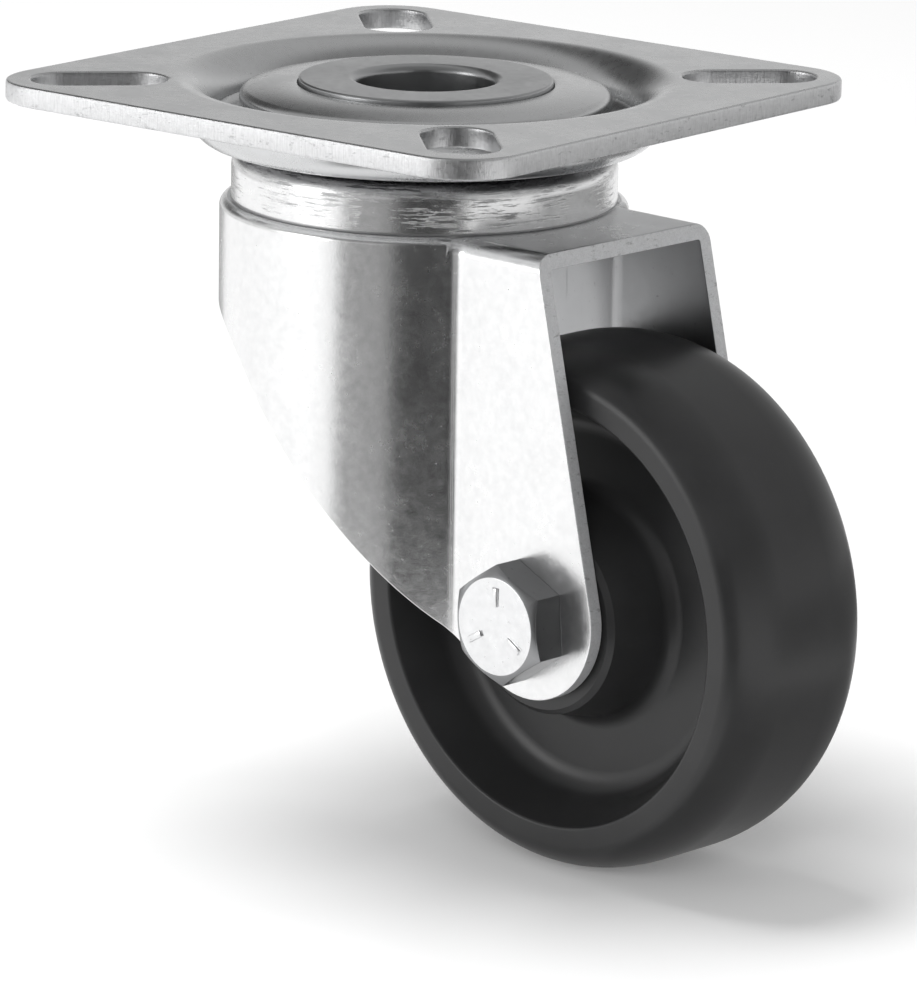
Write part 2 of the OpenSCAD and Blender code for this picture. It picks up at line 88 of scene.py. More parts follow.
camera_data = bpy.data.cameras.new("camera")
camera_data.sensor_fit = "HORIZONTAL"
camera_data.sensor_width = sensor_w
camera_data.lens = focal_px / picture_w * sensor_w
camera_data.clip_start = nearest
camera_data.clip_end = farthest
camera = bpy.data.objects.new("camera", camera_data)
bpy.context.scene.collection.objects.link(camera)
level = Vector((math.cos(camera_heading), -math.sin(camera_heading), 0))
forward = Vector((math.sin(camera_heading) * math.cos(camera_tilt),
                  math.cos(camera_heading) * math.cos(camera_tilt),
                  math.sin(camera_tilt)))
upright = level.cross(forward)
side = level * math.cos(camera_roll) + upright * math.sin(camera_roll)
top = upright * math.cos(camera_roll) - level * math.sin(camera_roll)
camera.matrix_world = Matrix((side, top, -forward)).transposed().to_4x4()
camera.matrix_world.translation = camera_place
bpy.context.scene.camera = camera
bpy.context.scene.view_settings.view_transform = "Standard"
print("lens", round(camera_data.lens, 1), "mm")

# %% [markdown]
# ## Shader maths in plain Python
# A material is a graph of nodes, and long sums of Math nodes are hard to read. The class
# below wraps one socket, so that `1 - mask * 0.4` adds the nodes by itself. One more
# function, add, makes any other node from its type, its settings and its inputs.

# %% Wrap a socket
class Wire:
    def __init__(self, tree, socket):
        self.tree = tree
        self.socket = socket

    def math(self, operation, *values):
        return add(self.tree, "ShaderNodeMath", {"operation": operation}, (self, *values))

    def __add__(self, other):
        return self.math("ADD", other)

    def __sub__(self, other):
        return self.math("SUBTRACT", other)

    def __rsub__(self, other):
        return self * -1 + other

    def __mul__(self, other):
        return self.math("MULTIPLY", other)

    def __pow__(self, other):
        return self.math("POWER", other)

    __radd__ = __add__
    __rmul__ = __mul__

    def between(self, low, high):
        """0 below low, 1 above high, smooth in between"""
        return add(self.tree, "ShaderNodeMapRange", {"interpolation_type": "SMOOTHSTEP"},
                   {"Value": self, "From Min": low, "From Max": high})

    def inside(self, low, high, soft):
        """1 from low to high, and 0 beyond a soft border at either end"""
        return self.between(low - soft, low) * (1 - self.between(high, high + soft))


print("a wire can", [name for name in vars(Wire) if not name.startswith("__")])

# %% Add any node
def add(tree, kind, settings=None, inputs=(), output=0):
    node = tree.nodes.new(kind)
    for name, value in (settings or {}).items():
        setattr(node, name, value)
    pairs = inputs.items() if isinstance(inputs, dict) else enumerate(inputs)
    for name, value in pairs:
        if isinstance(value, Wire):
            tree.links.new(value.socket, node.inputs[name])
        else:
            node.inputs[name].default_value = value
    return Wire(tree, node.outputs[output])


def split(tree, vector):
    """the x, y and z of a vector"""
    parts = tree.nodes.new("ShaderNodeSeparateXYZ")
    tree.links.new(vector.socket, parts.inputs[0])
    return [Wire(tree, socket) for socket in parts.outputs]


print("add and split make every other node")

# %% Helpers for every finish
middle = 0.5


def new_material(name):
    """an empty material with its tree, its shader and a wire with Object coordinates"""
    material = bpy.data.materials.new(name)
    material.use_nodes = True
    tree = material.node_tree
    shader = tree.nodes["Principled BSDF"]
    place = add(tree, "ShaderNodeTexCoord", output="Object")
    return material, tree, shader, place


def plug(tree, shader, **wires):
    for name, wire in wires.items():
        tree.links.new(wire.socket, shader.inputs[name.replace("_", " ")])


def noise(tree, place, size, detail=3.0, rough=0.55, stretch=(1, 1, 1)):
    """a cloud pattern whose blotches are about size across, from 0 to 1"""
    scaled = add(tree, "ShaderNodeMapping", {}, {"Vector": place, "Scale": stretch})
    return add(tree, "ShaderNodeTexNoise", {},
               {"Vector": scaled, "Scale": 1 / size, "Detail": detail, "Roughness": rough})


def colour_mix(tree, factor, low, high):
    """a colour that runs from low, a colour or a wire, to high with factor"""
    start = low if isinstance(low, Wire) else (*low, 1)
    return add(tree, "ShaderNodeMix", {"data_type": "RGBA"},
               {"Factor": factor, "A": start, "B": (*high, 1)}, output="Result")


def shades(tone, darker, lighter):
    """a darker and a lighter copy of a colour"""
    return [tuple(min(channel * share, 1.0) for channel in tone) for share in (darker, lighter)]


def relief_of(tree, height, strength, depth):
    """a fine relief that bends the light, for what is too small to model"""
    return add(tree, "ShaderNodeBump", {}, {"Height": height, "Strength": strength, "Distance": depth})


print("finish helpers ready")

# %% [markdown]
# ## Zinc-plated sheet
# The plate and the fork are pressed steel with bright zinc on top. Zinc is a metal, so
# Metallic is 1 and its colour is how much it reflects. What makes it look used and real is
# unevenness: clouds a few millimetres across, blotches below a millimetre, a fine grain,
# small dark specks, and rubbed scratches. Clouds and blotches feed the colour and the
# Roughness, and all but the clouds feed a weak Bump. A picture wrapped round the sheet
# would show its seams, and noise in Object coordinates has none.

# %% Make the marks and the painted shade on the fork's neck
neck_r, head_top, roof_z = 18.4, -6.5, -11.5
ring_size, patch_size = 0.42 * mm, 5 * mm
ring_edges, patch_edges = (0.52, 0.66), (0.38, 0.60)
round_neck = (0.10, 0.10, 1.6)
# a dark grey for the scored rings, also used as painted shade in the neck's lower corner and on its top bend
scratch_and_shade_grey = (0.10, 0.10, 0.105)


def neck_marks_and_shade(tree, place):
    """masks for rings scored round the neck, and for painted shade in the corner where the neck meets the
    roof and on the bend at its top
    """
    x, y, z = split(tree, place)
    radius = (x * x + y * y) ** 0.5
    soft, fade = 0.2 * mm, 0.7 * mm
    wall, roof, head = neck_r * mm, roof_z * mm, head_top * mm
    beyond = radius.between(wall + soft / 2, wall + 1.5 * soft)
    neck = z.between(roof + soft, roof + 3 * soft) * (1 - beyond)
    # painted shade: a dark ring in the corner where the neck meets the roof
    foot_shade = z.inside(roof, roof + soft / 2, soft) * radius.inside(wall - soft / 2, wall + soft / 2, soft)
    # painted shade: the top bend of the neck darkened where it faces the gap under the plate
    crest_shade = z.between(head - 2 * fade, head - fade)
    rings = noise(tree, place, ring_size, 4, 0.7, round_neck).between(*ring_edges)
    patches = noise(tree, place, patch_size, 3, 0.6).between(*patch_edges)
    return rings * neck * patches, foot_shade, crest_shade


print("neck marks from", roof_z, "to", head_top, "mm")

# %% The recipe for zinc
cloud_size, blotch_size, grain_size = 6 * mm, 0.9 * mm, 0.16 * mm
speck_size, streak_size = 0.55 * mm, 0.5 * mm
speck_edges, streak_edges = (0.68, 0.76), (0.62, 0.72)
upright_streaks = (1, 1, 0.08)
darkest, brightest = 0.72, 1.22
relief_depth = 0.05 * mm


def zinc(name, tone, gloss, cloud=0.08, speck=0.25, grain=0.10, scratches=0.3, mottle=0.0, neck=False):
    """bright zinc: cloud, speck, grain, scratches and mottle say how strong each mark is"""
    material, tree, shader, place = new_material(name)
    shader.inputs["Metallic"].default_value = 1.0
    clouds = noise(tree, place, cloud_size, 4) - middle
    small = noise(tree, place, blotch_size, 4, 0.65)
    blotches = small - middle
    fine = noise(tree, place, grain_size, 2)
    specks = noise(tree, place, speck_size, 2).between(*speck_edges) * speck
    streaks = noise(tree, place, streak_size, 3, 0.6, upright_streaks).between(*streak_edges) * scratches
    shade = clouds * cloud * 3 + blotches * (cloud * 1.6 + mottle) + middle - specks
    colour = colour_mix(tree, shade, *shades(tone, darkest, brightest))
    roughness = (clouds + blotches) * cloud * 2 + gloss + streaks * 0.2 + specks * 0.5
    relief = fine * 0.25 + small * 0.6 - specks * 2 - streaks * 0.5
    if neck:
        scored, foot_shade, crest_shade = neck_marks_and_shade(tree, place)
        # the real scored rings go dark, and the lower corner and the top bend get painted shade
        colour = colour_mix(tree, scored * 0.6 + foot_shade * 0.6 + crest_shade * 0.8, colour, scratch_and_shade_grey)
        roughness = roughness + scored * 0.18 + foot_shade * 0.3
        relief = relief - scored * 2.5
    plug(tree, shader, Base_Color=colour, Roughness=roughness,
         Normal=relief_of(tree, relief, grain, relief_depth))
    return material


print("zinc recipe ready, with clouds of", cloud_size / mm, "mm")

# %% Make the zinc finishes
zinc_plate = zinc("zinc_plate", (0.62, 0.625, 0.63), 0.28, mottle=0.25)
zinc_fork = zinc("zinc_fork", (0.88, 0.883, 0.89), 0.24, cloud=0.07, speck=0.08, grain=0.32,
                 scratches=0.10, mottle=0.5, neck=True)
# painted shade: a darker copy of the fork's zinc for the flat roof
zinc_roof = zinc("zinc_roof", (0.52, 0.523, 0.53), 0.30, speck=0.15, scratches=0.15)
# painted shade: a darker copy of the zinc for the inside of the fork
zinc_inside = zinc("zinc_inside", (0.38, 0.383, 0.39), 0.36, speck=0.3, scratches=0.8)
zinc_rivet = zinc("zinc_rivet", (0.43, 0.435, 0.44), 0.33, cloud=0.09)
zinc_bolt = zinc("zinc_bolt", (0.80, 0.803, 0.81), 0.24, cloud=0.07, scratches=0.1, mottle=0.5)
# painted shade: a darker copy of the bolt's zinc for the flanks of its head
zinc_flank = zinc("zinc_flank", (0.34, 0.343, 0.35), 0.34, speck=0.3)
zinc_nut = zinc("zinc_nut", (0.80, 0.803, 0.81), 0.28, cloud=0.05)
zinc_tube = zinc("zinc_tube", (0.55, 0.555, 0.565), 0.34, cloud=0.05)
race_steel = zinc("race_steel", (0.45, 0.455, 0.465), 0.3)
zincs = [material.name for material in bpy.data.materials if material.name.startswith("zinc")]
print("zinc finishes", zincs, "and", race_steel.name)

# %% [markdown]
# ## Sheared edge
# Where the press cuts the sheet, the edge is a pale rough band with fine lines that run
# through the thickness. The same recipe as the sheet's, with a noise stretched along Z,
# gives those lines, dark pits break them, and a stronger Bump makes them catch the light.

# %% Make the sheared edge
line_size, tear_size, pit_size = 0.14 * mm, 0.5 * mm, 1.1 * mm
through_sheet, any_way = (1, 1, 0.12), (1, 1, 1)
pit_shape, pit_edges, pit_tone = (1, 1, 2.2), (0.56, 0.68), (0.16, 0.16, 0.165)
edge_darkest, edge_brightest = 0.6, 1.2
edge_relief, edge_depth = 0.5, 0.06 * mm


def sheared(name, tone, gloss, stretch, metal=1.0):
    material, tree, shader, place = new_material(name)
    shader.inputs["Metallic"].default_value = metal
    lines = noise(tree, place, line_size, 3, 0.6, stretch)
    torn = noise(tree, place, tear_size, 4, 0.7)
    pits = noise(tree, place, pit_size, 5, 0.75, pit_shape).between(*pit_edges)
    tones = shades(tone, edge_darkest, edge_brightest)
    colour = colour_mix(tree, lines * 0.7 + torn * 0.5 - 0.1, *tones)
    colour = colour_mix(tree, pits * 0.45, colour, pit_tone)
    plug(tree, shader, Base_Color=colour, Roughness=torn * 0.25 + gloss,
         Normal=relief_of(tree, lines + torn * 1.5, edge_relief, edge_depth))
    return material


edge_plate = sheared("edge_plate", (0.77, 0.773, 0.78), 0.3, through_sheet)
edge_slot = sheared("edge_slot", (0.62, 0.623, 0.63), 0.20, through_sheet)
edge_fork = sheared("edge_fork", (0.70, 0.705, 0.715), 0.45, any_way, metal=0.6)
print("sheared edges", [m.name for m in (edge_plate, edge_slot, edge_fork)])

# %% [markdown]
# ## Moulded plastics
# The wheel is one moulding, satin and nearly black. Its colour hardly changes, so the
# finish is in the gloss: a very fine grain, soft clouds where the mould was polished
# less, and a few pale scuffs. The nut's blue ring gets the same recipe.

# %% Make the plastics
polish_size, mould_grain = 7 * mm, 0.12 * mm
dust_size, dust_edges = 0.3 * mm, (0.70, 0.78)
scuff_size, scuff_shape, scuff_edges = 1.2 * mm, (1, 1, 3), (0.60, 0.75)
mould_depth, mould_shine = 0.03 * mm, 0.45


def plastic(name, tone, gloss, grain):
    material, tree, shader, place = new_material(name)
    shader.inputs["Specular IOR Level"].default_value = mould_shine
    clouds = noise(tree, place, polish_size, 3)
    fine = noise(tree, place, mould_grain, 2)
    dust = noise(tree, place, dust_size, 2).between(*dust_edges)
    scuffs = noise(tree, place, scuff_size, 4, 0.7, scuff_shape).between(*scuff_edges)
    lighter = tuple(channel * 1.7 + 0.004 for channel in tone)
    colour = colour_mix(tree, (clouds - 0.4) * 0.8 + dust * 0.4 + scuffs * 0.25, tone, lighter)
    roughness = (clouds - middle) * 0.12 + fine * 0.08 + gloss - scuffs * 0.04
    plug(tree, shader, Base_Color=colour, Roughness=roughness,
         Normal=relief_of(tree, fine + clouds * 0.5, grain, mould_depth))
    return material


wheel_black = plastic("wheel_black", (0.020, 0.020, 0.0205), 0.31, 0.15)
insert_blue = plastic("insert_blue", (0.05, 0.11, 0.30), 0.4, 0.1)
print("plastics", [m.name for m in (wheel_black, insert_blue)])

# %% [markdown]
# ## Bearing balls
# The balls stay the CAD's own spheres, as their shape is already right. They get a
# polished steel with a thin film of grease that dulls it in patches.

# %% Make the ball steel
film_size, film_edges, film_shade = 1.5 * mm, (0.4, 0.7), 0.75
film_gloss, clean_gloss = 0.2, 0.08


def polished(name, tone):
    material, tree, shader, place = new_material(name)
    shader.inputs["Metallic"].default_value = 1.0
    film = noise(tree, place, film_size, 3).between(*film_edges)
    dull, clean = shades(tone, film_shade, 1)
    plug(tree, shader, Base_Color=colour_mix(tree, film, clean, dull),
         Roughness=film * film_gloss + clean_gloss)
    return material


ball_steel = polished("ball_steel", (0.75, 0.755, 0.765))
balls = [name for name in frame["nodes"] if "_ball_" in name]
for name in balls:
    ball = frame["nodes"][name]
    ball.data.materials.clear()
    ball.data.materials.append(ball_steel)
    for face in ball.data.polygons:
        face.use_smooth = True
print("balls", len(balls))

# %% [markdown]
# ## Tools for modelling by hand
# Every piece starts as a primitive and is shaped in edit mode. Operators act on whatever
# is selected, so each tool first clears the selection. `trace` pulls a point along a list
# of places, as one would extrude a vertex again and again, and `spin` turns the traced
# outline round an axis, which is how a lathe or a press makes a round shape.

# %% Selection and outlines
doubles, tiny = 0.0005 * mm, 0.01 * mm


def deselect():
    if bpy.context.mode != "OBJECT":
        bpy.ops.object.mode_set(mode="OBJECT")
    bpy.ops.object.select_all(action="DESELECT")


def use(piece):
    deselect()
    piece.select_set(True)
    bpy.context.view_layer.objects.active = piece


def unit(degrees):
    return Vector((math.cos(math.radians(degrees)), math.sin(math.radians(degrees))))


def bearing(vector):
    return math.degrees(math.atan2(vector.y, vector.x))


def arc(mid, radius, start, end, steps=8):
    """places on an arc, angles in degrees, as pairs in the outline's own plane"""
    turns = [math.radians(start + (end - start) * i / steps) for i in range(steps + 1)]
    return [(mid[0] + radius * math.cos(t), mid[1] + radius * math.sin(t)) for t in turns]


print("a quarter arc of radius 1 ends at", [round(v, 3) for v in arc((0, 0), 1, 0, 90)[-1]])

# %% Pull, spin and fill an outline
def trace(name, places):
    """a new mesh: one point pulled through the places"""
    deselect()
    bpy.ops.mesh.primitive_plane_add(size=mm)
    piece = bpy.context.object
    piece.name = name
    bpy.ops.object.mode_set(mode="EDIT")
    bpy.ops.mesh.select_mode(type="VERT")
    bpy.ops.mesh.select_all(action="SELECT")
    bpy.ops.mesh.merge(type="CENTER")
    bpy.ops.transform.translate(value=places[0])
    for here, there in zip(places, places[1:]):
        bpy.ops.mesh.extrude_region_move(TRANSFORM_OT_translate={"value": there - here})
    return piece


def close_up():
    """joins doubles and turns all faces outwards, in edit mode"""
    bpy.ops.mesh.select_all(action="SELECT")
    bpy.ops.mesh.remove_doubles(threshold=doubles)
    bpy.ops.mesh.select_all(action="SELECT")
    bpy.ops.mesh.normals_make_consistent(inside=False)


def spin(name, outline, centre=Vector(), axis=up, radial=Vector((1, 0, 0)), steps=128):
    """a turned piece: outline holds (radius, height) pairs in millimetres"""
    places = [centre + radial * (r * mm) + axis * (h * mm) for r, h in outline]
    piece = trace(name, places)
    bpy.ops.mesh.select_all(action="SELECT")
    bpy.ops.mesh.spin(steps=steps, angle=2 * math.pi, center=centre, axis=axis)
    close_up()
    deselect()
    return piece


def slab(name, outline, plane, depth):
    """a flat outline filled and pulled into a prism; plane turns a pair into a place"""
    places = [plane(*pair) for pair in outline]
    piece = trace(name, places + places[:1])
    close_up()
    bpy.ops.mesh.edge_face_add()
    bpy.ops.mesh.extrude_region_move(TRANSFORM_OT_translate={"value": depth})
    close_up()
    deselect()
    return piece


print("modelling tools ready")

# %% [markdown]
# ## Cutting and finishing
# A press or a drill is a Boolean here: one shape joins, cuts or trims another, and the
# cutter's own finish stays on the faces that it cuts. A Boolean leaves its flat faces in
# many pieces, which would hold the rounding back, so `finish` merges them first. Then a
# Bevel modifier rounds the sharp edges, because a real edge always catches some light.

# %% Joining, cutting and painting
def combine(piece, other, operation):
    """joins, cuts or trims the piece with the other one, which is used up"""
    use(piece)
    modifier = piece.modifiers.new("combine", "BOOLEAN")
    modifier.operation = operation
    modifier.solver = "EXACT"
    modifier.material_mode = "TRANSFER"
    modifier.object = other
    bpy.ops.object.modifier_apply(modifier=modifier.name)
    bpy.data.objects.remove(other)
    return piece


def paint(piece, material):
    piece.data.materials.clear()
    piece.data.materials.append(material)
    return piece


def repaint(piece, material, test):
    """gives a further material to the faces whose middle and normal pass the test"""
    piece.data.materials.append(material)
    for face in piece.data.polygons:
        if test(face.center, face.normal):
            face.material_index = len(piece.data.materials) - 1


print("cutting and painting tools ready")

# %% Rounding and handing over
flat_turn = math.radians(0.05)
bevel_steps = 2


def merge_flats(piece):
    """makes one face of the pieces that a flat face was cut into"""
    use(piece)
    bpy.ops.object.mode_set(mode="EDIT")
    bpy.ops.mesh.select_all(action="SELECT")
    bpy.ops.mesh.dissolve_degenerate(threshold=tiny)
    bpy.ops.mesh.dissolve_limited(angle_limit=flat_turn, delimit={"MATERIAL"})
    deselect()


def round_edges(piece, rounding, limit, clamp):
    """rounds the edges that are sharper than limit; clamp holds it back at short edges"""
    use(piece)
    bevel = piece.modifiers.new("edges", "BEVEL")
    bevel.width = rounding * mm
    bevel.segments = bevel_steps
    bevel.limit_method = "ANGLE"
    bevel.angle_limit = math.radians(limit)
    bevel.use_clamp_overlap = clamp
    bpy.ops.object.modifier_apply(modifier=bevel.name)
    bpy.ops.object.mode_set(mode="EDIT")
    close_up()
    deselect()


def finish(piece, body, node, rounding=0, limit=40, smooth=32, clamp=True):
    """rounds the sharp edges a little, smooths the rest and hands the piece to its body"""
    if rounding:
        merge_flats(piece)
        round_edges(piece, rounding, limit, clamp)
    use(piece)
    bpy.ops.object.shade_smooth_by_angle(angle=math.radians(smooth))
    weighted = piece.modifiers.new("normals", "WEIGHTED_NORMAL")
    weighted.keep_sharp = True
    bpy.ops.object.modifier_apply(modifier=weighted.name)
    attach(piece, body)
    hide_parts(node)
    faces = len(piece.data.polygons)
    print(piece.name, "faces", faces, "size", [round(v / mm, 1) for v in piece.dimensions])


print("finish rounds, smooths and hands over")

# %% [markdown]
# ## Top plate
# The plate is one square sheet with a ring pressed down into it, and the raised middle
# carries the rivet. Its section through the axis is traced once and spun into a disc that
# is wider than the plate. The square with its round corners then trims the disc, and four
# slot-shaped cutters on the diagonals go through it. Trim and cutters wear the sheared
# finishes and leave them on the edges.

# %% Plate sizes
plate_side, plate_corner, plate_t = 60.0, 6.4, 2.0
slot_w, slot_l, slot_mid = 6.6, 12.8, 30.95
rim_r, rim_bend = 24.0, 1.8
groove_depth, groove_round, ridge_round = 4.0, 0.8, 2.0
dome_r, dome_round, lip_tuck = 17.7, 0.9, 8
dome_drop, dome_edge_drop, dome_swell = 0.45, 1.1, 0.17
flange_r, flange_t = 12.1, 1.0
rivet_tube_r, rivet_fit = 8.0, 0.05
ball_track = 2.1
upper_mid = (13.6, -4.65)
lower_mid = (10.6, -9.7)
plate_rounding = 0.3
far_r = 46.0
trim_top, trim_depth = 3, 12
cutter_top, cutter_depth = 2, 6
ridge_z = -(groove_depth + plate_t)
groove_out = rim_r - rim_bend - plate_t
dome_under = upper_mid[1] + ball_track
wall_r = upper_mid[0] + ball_track
in_round = upper_mid[1] - ridge_z
print("groove from", dome_r, "to", groove_out, "mm, ball track at", upper_mid[0])

# %% Plate section
def dome_arc(start, end, rise, steps=8):
    """a shallow arc between two places that stands rise above their straight line"""
    start, end = Vector(start), Vector(end)
    chord = (end - start).length
    radius = chord * chord / (8 * rise) + rise / 2
    half = math.degrees(math.asin(chord / 2 / radius))
    lean = bearing(end - start)
    centre = (start + end) / 2 - unit(lean + 90) * (radius - rise)
    return arc(centre, radius, lean + 90 + half, lean + 90 - half, steps)


def plate_section():
    slope = math.atan((dome_edge_drop - dome_drop) / (dome_r - flange_r))
    edge_r = dome_r - dome_round
    edge_z = -dome_drop - (edge_r - flange_r) * math.tan(slope) - dome_round / math.cos(slope)
    lip = arc((edge_r, edge_z), dome_round, 90 - math.degrees(slope) - lip_tuck, 0, 8)
    rim_mid = (rim_r, -rim_bend - plate_t)
    bore = rivet_tube_r + rivet_fit
    seat = flange_r + rivet_fit
    line = [(bore, dome_under), (bore, -flange_t), (seat, -flange_t)]
    line += dome_arc((seat, -dome_drop), lip[0], dome_swell) + lip[1:]
    line += arc((dome_r + groove_round, -groove_depth + groove_round), groove_round, 180, 270, 6)
    line += arc((groove_out - groove_round, -groove_depth + groove_round), groove_round, -90, 0, 6)
    line += arc(rim_mid, rim_bend + plate_t, 180, 90, 14)
    line += [(far_r, 0), (far_r, -plate_t)]
    line += arc(rim_mid, rim_bend, 90, 180, 10)
    line += arc((groove_out, ridge_z + ridge_round), ridge_round, 0, -90, 10)
    line += arc((wall_r + in_round, upper_mid[1]), in_round, -90, -180, 10)
    line += arc(upper_mid, ball_track, 0, 90, 10)
    return line + line[:1]


print("plate section has", len(plate_section()), "places")

# %% Outlines that trim and pierce
def rounded_square(side, corner, turn):
    """the outline of a square with round corners, turned by an angle in degrees"""
    reach = (side / 2 - corner) * math.sqrt(2)
    line = []
    for i in range(4):
        line += arc(unit(45 + 90 * i + turn) * reach, corner, 90 * i + turn, 90 * i + 90 + turn, 12)
    return line


def long_hole(mid_r, length, width, turn):
    """the outline of a slot whose long axis points away from the middle"""
    reach = (length - width) / 2
    line = arc(unit(turn) * (mid_r + reach), width / 2, turn - 90, turn + 90, 16)
    return line + arc(unit(turn) * (mid_r - reach), width / 2, turn + 90, turn + 270, 16)


def at_level(z):
    return lambda x, y: Vector((x, y, z)) * mm


print("slot reaches", slot_mid + slot_l / 2, "mm from the middle")

# %% Press, trim and pierce the plate
top_plate = paint(spin("pressed_plate", plate_section(), steps=144), zinc_plate)
trim = slab("trim", rounded_square(plate_side, plate_corner, 45), at_level(trim_top), -trim_depth * mm * up)
combine(top_plate, paint(trim, edge_plate), "INTERSECT")
for turn in (0, 90, 180, 270):
    slot = long_hole(slot_mid, slot_l, slot_w, turn)
    cutter = slab("slot", slot, at_level(cutter_top), -cutter_depth * mm * up)
    combine(top_plate, paint(cutter, edge_slot), "DIFFERENCE")
finish(top_plate, "plate", "top_plate", rounding=plate_rounding, clamp=False)

# %% [markdown]
# ## King rivet and lower race
# One hollow rivet holds the bearing together. Its flange lies in the middle of the plate,
# and its lower end is spread over a pressed cup. Both are plain turned shapes, so a
# section with rounded lips and one spin each is all they need.

# %% Rivet
bore_r, mouth, flange_round = 6.6, 0.8, 0.25
cup_t, cup_rim, cup_rounding = 1.5, 0.4, 0.1
flare_t, flare_reach = 1.0, 1.8
turned_steps = 112
cup_top = lower_mid[1] - ball_track
cup_low = cup_top - cup_t
foot_z = cup_low - flare_t
flare_round = flare_t / 2

rivet_line = arc((bore_r + mouth, -mouth), mouth, 180, 90, 8)
rivet_line += arc((flange_r - flange_round, -flange_round), flange_round, 90, 0, 4)
rivet_line += [(flange_r, -flange_t), (rivet_tube_r, -flange_t), (rivet_tube_r, cup_low)]
rivet_line += arc((rivet_tube_r + flare_reach - flare_round, cup_low - flare_round), flare_round, 90, -90, 8)
rivet_line += arc((bore_r + mouth, foot_z + mouth), mouth, 270, 180, 8)
king_rivet = spin("hollow_rivet", rivet_line + rivet_line[:1], steps=turned_steps)
finish(paint(king_rivet, zinc_rivet), "plate", "king_rivet")

# %% Lower race
cup_in = rivet_tube_r + rivet_fit
rim_z = lower_mid[1] + cup_rim
cup_line = [(cup_in, cup_top)]
cup_line += arc(lower_mid, ball_track, -90, 0, 8)
cup_line += [(lower_mid[0] + ball_track, rim_z), (lower_mid[0] + ball_track + cup_t, rim_z)]
cup_line += arc(lower_mid, ball_track + cup_t, 0, -90, 10)
cup_line += [(cup_in, cup_low)]
lower_race = spin("lower_race", cup_line + cup_line[:1], steps=turned_steps)
finish(paint(lower_race, race_steel), "plate", "lower_race_cup", rounding=cup_rounding)

# %% [markdown]
# ## Fork
# The fork is one drawn sheet: a round body that runs into two flat legs under a flat
# roof. Seen from above it is a keyhole. The outer skin is that keyhole pulled down into
# a prism with its top edge bevelled into a bend, and a second block with a tighter bend
# tops the round part. The inner skin is the same keyhole set in by the sheet's thickness.
# Cutting one from the other leaves the sheet, whose inside gets a darker copy of the zinc
# as painted shade, and a prism with the outline seen from the side then trims the legs.

# %% Fork sizes
sheet_t, fork_gap = 1.5, 20.4
neck_bend, head_hole = 0.5, 8.9
roof_front = 25.8
body_r, body_edge, round_depth = 19.5, 0.9, 3
bend_r, crease_r, inner_bend = 1.8, 2.0, 0.3
back_z, rear_angle, blend_r = -21.3, 47.5, 17.0
leg_end_ahead, leg_end_above, leg_end_r = 0.4, 0.5, 8.1
heel_back, heel_above, heel_r = 5.5, 1.6, 6.0
boss_h, boss_foot, boss_top = 0.3, 7.3, 6.6
spare_end, spare_inside = 2, 1.0
leg_y = fork_gap / 2 + sheet_t
axle_x, axle_z = trail / mm, axle_mid.z / mm
leg_end = Vector((axle_x + leg_end_ahead, axle_z + leg_end_above))
heel = Vector((axle_x - heel_back, axle_z + heel_above))
deep_z = leg_end.y - leg_end_r - spare_end
long_x = leg_end.x + leg_end_r + spare_end
print("legs from", fork_gap / 2, "to", leg_y, "mm off the middle")

# %% Fork skins
crease_y = leg_y + crease_r
crease_mid = Vector((math.sqrt((body_r + crease_r) ** 2 - crease_y ** 2), crease_y))
facing = bearing(crease_mid)
round_steps = 112


def fork_place(x, y, z):
    """a place in the fork's own frame: x along the trail, y along the axle, in mm"""
    return ahead * (x * mm) + across * (y * mm) + up * (z * mm)


def fork_level(z):
    return lambda x, y: fork_place(x, y, z)


def keyhole(inset, spare):
    """the plan of a skin as (x, y) pairs in the fork's frame"""
    w, hollow = leg_y - inset, crease_r + inset
    line = [(long_x + spare, w)]
    line += arc(crease_mid, hollow, -90, facing - 180, 10)
    line += arc((0, 0), body_r - inset, facing, 360 - facing, round_steps)[1:-1]
    line += arc((crease_mid.x, -crease_mid.y), hollow, 180 - facing, 90, 10)
    return line + [(long_x + spare, -w)]


def bend_over(block, top_z, radius, front):
    """rounds the top edges of a block, apart from the ones at its front end"""
    use(block)
    bpy.ops.object.mode_set(mode="EDIT")
    bpy.ops.mesh.select_all(action="DESELECT")
    bpy.ops.mesh.select_mode(type="EDGE")
    shape = bmesh.from_edit_mesh(block.data)
    for edge in shape.edges:
        on_top = all(abs(v.co.z - top_z * mm) < tiny for v in edge.verts)
        in_front = all(v.co.dot(ahead) > front * mm - tiny for v in edge.verts)
        edge.select = on_top and not in_front
    shape.select_flush_mode()
    bmesh.update_edit_mesh(block.data)
    bpy.ops.mesh.bevel(offset=radius * mm, segments=8, profile=0.5, affect="EDGES", clamp_overlap=False)
    close_up()
    deselect()


def skin(name, inset, spare, radius):
    """a closed block in the keyhole's shape with its top edge bent over"""
    top_z = roof_z - inset
    depth = (deep_z - spare - top_z) * mm
    block = slab(name, keyhole(inset, spare), fork_level(top_z), up * depth)
    bend_over(block, top_z, radius, long_x + spare)
    return block


print("keyhole has", len(keyhole(0, 0)), "places")

# %% Outer and inner skin
fork = skin("fork_sheet", 0.0, 0.0, bend_r)
round_plan = arc((0, 0), body_r, facing, 360 - facing, round_steps)
round_top = slab("round_top", round_plan, fork_level(roof_z), -up * round_depth * mm)
bend_over(round_top, roof_z, body_edge, long_x)
paint(combine(fork, round_top, "UNION"), zinc_fork)
# the inner skin leaves the darker zinc, painted shade, on the inside of the sheet
combine(fork, paint(skin("fork_inside", sheet_t, spare_inside, inner_bend), zinc_inside), "DIFFERENCE")
print("fork sheet faces", len(fork.data.polygons))

# %% Side outline of the fork
cut_half, overshoot = 24, 4


